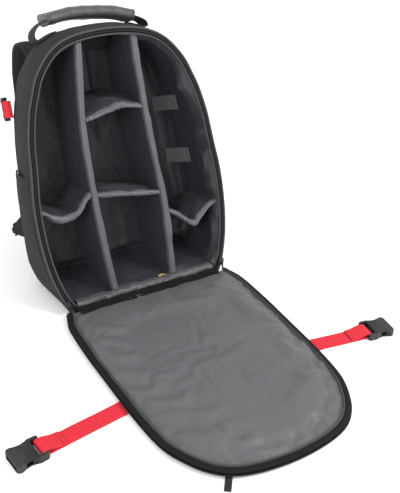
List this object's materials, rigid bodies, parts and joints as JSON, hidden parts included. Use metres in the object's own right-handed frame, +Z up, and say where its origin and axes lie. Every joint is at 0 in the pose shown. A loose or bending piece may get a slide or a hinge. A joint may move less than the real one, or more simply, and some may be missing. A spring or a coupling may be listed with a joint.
{
  "type": "camera backpack",
  "caption": "Leaning camera backpack, front lid unzipped flat on the floor, padded dividers and shelves inside, top grip handle, red webbing straps with side-release buckles.",
  "frame": {"origin": "middle of the body's flat base, on the floor", "axes": "+X across to the bag's right as seen from its opening, -Y the way the opening faces and the lid lies, +Z up"},
  "size_m": [0.5662, 0.6693, 0.3993],
  "materials": {
    "outer_cloth": "woven, matte",
    "grip_cloth": "woven with a soft sheen",
    "lining": "satin nylon",
    "lip_cloth": "satin nylon, creased",
    "lid_lining": "satin nylon, puffed",
    "piping": "corded edge binding",
    "zip_tape": "woven tape with coil",
    "red_webbing": "woven webbing",
    "dark_webbing": "woven webbing",
    "grey_webbing": "woven webbing",
    "buckle_plastic": "moulded, satin",
    "slider_plastic": "coated slider with cord pull",
    "tag_cloth": "woven tag, folded"
  },
  "bodies": {
    "root": {"body_shell": "outer_cloth", "side_pocket_left": "outer_cloth", "shoulder_strap_left": "outer_cloth", "shoulder_strap_right": "outer_cloth", "hinge_cloth": "outer_cloth", "handle_grip": "grip_cloth", "divider_left": "lining", "divider_right": "lining", "shelf_centre_upper": "lining", "shelf_centre_lower": "lining", "shelf_left": "lining", "shelf_right": "lining", "front_lip": "lip_cloth", "lid_panel": "lid_lining", "body_piping": "piping", "lining_piping": "piping", "lid_piping": "piping", "body_zip": "zip_tape", "lid_zip": "zip_tape", "lid_strap_left": "red_webbing", "lid_strap_right": "red_webbing", "side_strap_left": "red_webbing", "side_strap_right": "red_webbing", "handle_webbing": "dark_webbing", "strap_webbing_left": "dark_webbing", "strap_webbing_right": "dark_webbing", "strap_wing_left": "dark_webbing", "strap_wing_right": "dark_webbing", "lid_pull_tab": "dark_webbing", "loop_tab_upper": "grey_webbing", "loop_tab_lower": "grey_webbing", "lid_buckle_left": "buckle_plastic", "lid_buckle_right": "buckle_plastic", "side_buckle_left": "buckle_plastic", "side_buckle_right": "buckle_plastic", "zip_slider_left": "slider_plastic", "zip_slider_right": "slider_plastic", "inner_tag": "tag_cloth"}
  },
  "joints": []
}
